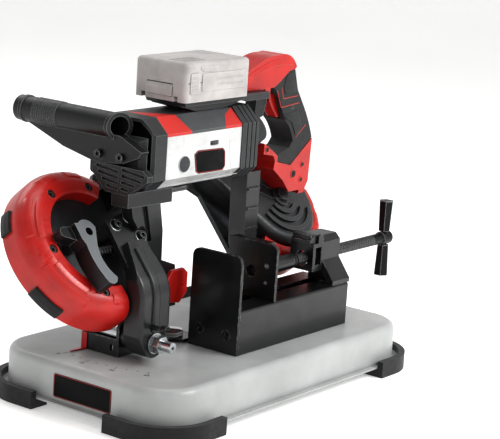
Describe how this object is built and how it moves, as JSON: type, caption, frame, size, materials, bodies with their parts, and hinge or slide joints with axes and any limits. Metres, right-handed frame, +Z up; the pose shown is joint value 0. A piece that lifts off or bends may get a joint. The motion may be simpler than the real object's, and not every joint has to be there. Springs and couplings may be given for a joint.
{
  "type": "band saw",
  "caption": "Portable deep-cut band saw in a bench stand: tray base, mitre swivel, sliding vise, slide-on battery and a geared, tilted blade drive.",
  "frame": {"origin": "middle of the footprint on the ground, below the whole saw's box", "axes": "+X from the front wheel to the rear handle, +Y away from the vise side, +Z up"},
  "size_m": [0.5751, 0.31, 0.3853],
  "materials": {
    "light_enamel": "satin light-grey powder coat",
    "black_enamel": "satin black powder coat",
    "red_enamel": "gloss red paint",
    "black_casting": "satin black paint over aluminium casting",
    "grey_casting": "fine-textured die casting",
    "red_plastic": "semi-gloss red moulding",
    "black_plastic": "fine-grained black moulding",
    "dark_plastic": "fine-grained dark-grey moulding",
    "pale_plastic": "pale grey moulding",
    "silver_plastic": "silver-lacquered moulding",
    "soft_grip": "over-moulded soft grip",
    "black_rubber": "moulded rubber",
    "zinc_steel": "bright zinc plate",
    "black_oxide": "black-oxidised steel",
    "gear_steel": "ground steel",
    "spring_steel": "drawn spring wire",
    "lamination_steel": "stacked laminations",
    "carbide": "ground carbide",
    "blade_steel": "satin band steel"
  },
  "bodies": {
    "base": {"base_tray": "light_enamel", "rubber_feet": "black_rubber", "base_fasteners": "zinc_steel", "vise_bed": "black_enamel", "fixed_jaw": "black_enamel", "nut_bracket": "black_enamel"},
    "jaw": {"movable_jaw": "black_enamel"},
    "screw": {"vise_screw": "black_oxide", "tee_handle": "black_oxide"},
    "release": {"quick_release": "black_enamel"},
    "swivel": {"swivel_plate": "black_enamel", "swivel_pivot": "zinc_steel", "mitre_pointer": "red_enamel", "head_pivot": "zinc_steel"},
    "head": {"support_arm": "black_casting", "main_frame": "grey_casting", "front_bumper": "red_plastic", "rear_bumper": "red_plastic", "bumper_pads": "black_rubber", "neck": "black_plastic", "motor_housing": "silver_plastic", "top_shell": "dark_plastic", "front_collar": "dark_plastic", "rear_collar": "dark_plastic", "battery_mount": "dark_plastic", "handle_top": "red_plastic", "handle_grip": "soft_grip", "handle_base": "red_plastic", "front_handle": "black_plastic", "frame_screws": "black_oxide", "gear_cover": "dark_plastic", "front_column": "black_casting", "rear_column": "black_casting", "guide_cover": "red_plastic", "guide_blocks": "carbide", "blade": "blade_steel", "motor_stator": "lamination_steel", "gearbox": "grey_casting", "switch_module": "black_plastic", "tension_spring": "spring_steel"},
    "wing_screw": {"lock_screw": "black_plastic"},
    "drive": {"drive_wheel": "grey_casting", "drive_gear": "gear_steel", "drive_tire": "black_rubber"},
    "idler": {"idler_wheel": "grey_casting", "idler_tire": "black_rubber"},
    "carriage": {"tension_carriage": "gear_steel"},
    "lever": {"tension_lever": "grey_casting"},
    "idle_gear": {"idler_gear": "gear_steel"},
    "lay": {"lay_shaft": "gear_steel"},
    "pinion": {"bevel_pinion": "gear_steel"},
    "armature": {"rotor": "lamination_steel"},
    "trigger_key": {"trigger": "red_plastic"},
    "safety": {"lock_button": "black_plastic"},
    "dial": {"speed_dial": "black_plastic"},
    "battery": {"battery_pack": "pale_plastic"},
    "latch": {"battery_latch": "pale_plastic"},
    "front_back_up": {"front_roller": "gear_steel"},
    "rear_back_up": {"rear_roller": "gear_steel"}
  },
  "joints": [
    {"name": "swivel_turn", "type": "hinge", "parent": "base", "child": "swivel", "pos_m": [-0.065, 0.001, 0.057], "axis": [0, 0, 1], "range_deg": [0, 45]},
    {"name": "head_tilt", "type": "hinge", "parent": "swivel", "child": "head", "pos_m": [-0.16, -0.007, 0.079], "axis": [0, -1, 0], "range_deg": [0, 28]},
    {"name": "wing_turn", "type": "hinge", "parent": "head", "child": "wing_screw", "pos_m": [-0.165, -0.047, 0.0985], "axis": [0, 1, 0], "range_deg": [0, 180]},
    {"name": "jaw_slide", "type": "slide", "parent": "base", "child": "jaw", "axis": [1, 0, 0], "range_m": [-0.06, 0.055]},
    {"name": "screw_turn", "type": "hinge", "parent": "jaw", "child": "screw", "pos_m": [0.005, -0.058, 0.1395], "axis": [1, 0, 0], "range_deg": [-5405, 4955]},
    {"name": "release_turn", "type": "hinge", "parent": "base", "child": "release", "pos_m": [0.114, -0.058, 0.1649], "axis": [0, 1, 0], "range_deg": [0, 60]},
    {"name": "drive_turn", "type": "hinge", "parent": "head", "child": "drive", "pos_m": [0.1444, 0.05, 0.166], "axis": [0, -0.766, 0.6428], "continuous": true},
    {"name": "carriage_slide", "type": "slide", "parent": "head", "child": "carriage", "axis": [1, 0, 0], "range_m": [0, 0.006], "deforming": ["tension_spring"]},
    {"name": "idler_turn", "type": "hinge", "parent": "carriage", "child": "idler", "pos_m": [-0.19, 0.05, 0.166], "axis": [0, -0.766, 0.6428], "continuous": true},
    {"name": "lever_turn", "type": "hinge", "parent": "head", "child": "lever", "pos_m": [-0.221, 0.01936, 0.19171], "axis": [0, 0.766, -0.6428], "range_deg": [0, 90]},
    {"name": "idle_gear_turn", "type": "hinge", "parent": "head", "child": "idle_gear", "pos_m": [0.08574, 0.05276, 0.21907], "axis": [0, -0.766, 0.6428], "continuous": true},
    {"name": "lay_turn", "type": "hinge", "parent": "head", "child": "lay", "pos_m": [0.053, 0.04653, 0.2552], "axis": [0, -0.766, 0.6428], "continuous": true},
    {"name": "pinion_turn", "type": "hinge", "parent": "head", "child": "pinion", "pos_m": [0.025, 0.011, 0.283], "axis": [1, 0, 0], "continuous": true},
    {"name": "armature_turn", "type": "hinge", "parent": "head", "child": "armature", "pos_m": [-0.081, 0.011, 0.283], "axis": [1, 0, 0], "continuous": true},
    {"name": "trigger_slide", "type": "slide", "parent": "head", "child": "trigger_key", "axis": [1, 0, 0], "range_m": [0, 0.006], "stiffness_N_per_m": 500, "springref_m": -0.002},
    {"name": "safety_turn", "type": "hinge", "parent": "head", "child": "safety", "pos_m": [0.079, 0.011, 0.336], "axis": [0, -1, 0], "range_deg": [0, 10], "stiffness_Nm_per_rad": 0.05, "springref_deg": -20.05},
    {"name": "dial_turn", "type": "hinge", "parent": "head", "child": "dial", "pos_m": [-0.0525, -0.0261, 0.292], "axis": [0, 0, 1], "range_deg": [0, 270]},
    {"name": "battery_slide", "type": "slide", "parent": "head", "child": "battery", "axis": [-1, 0, 0], "range_m": [0, 0.125]},
    {"name": "latch_slide", "type": "slide", "parent": "battery", "child": "latch", "axis": [1, 0, 0], "range_m": [0, 0.002], "stiffness_N_per_m": 400, "springref_m": -0.002},
    {"name": "front_roller_turn", "type": "hinge", "parent": "head", "child": "front_back_up", "pos_m": [-0.083, 0.001, 0.1236], "axis": [0, 1, 0], "continuous": true},
    {"name": "rear_roller_turn", "type": "hinge", "parent": "head", "child": "rear_back_up", "pos_m": [0.057, 0.001, 0.1236], "axis": [0, 1, 0], "continuous": true}
  ],
  "couplings": [
    {"joint": "screw_turn", "follows": "jaw_slide", "rad_per_m": 1570.8},
    {"joint": "lever_turn", "follows": "carriage_slide", "rad_per_m": 261.79},
    {"joint": "idler_turn", "follows": "drive_turn", "ratio": 1},
    {"joint": "idle_gear_turn", "follows": "drive_turn", "ratio": -1.5714},
    {"joint": "lay_turn", "follows": "drive_turn", "ratio": 3.6667},
    {"joint": "pinion_turn", "follows": "drive_turn", "ratio": 9.7778},
    {"joint": "armature_turn", "follows": "drive_turn", "ratio": 39.111}
  ]
}
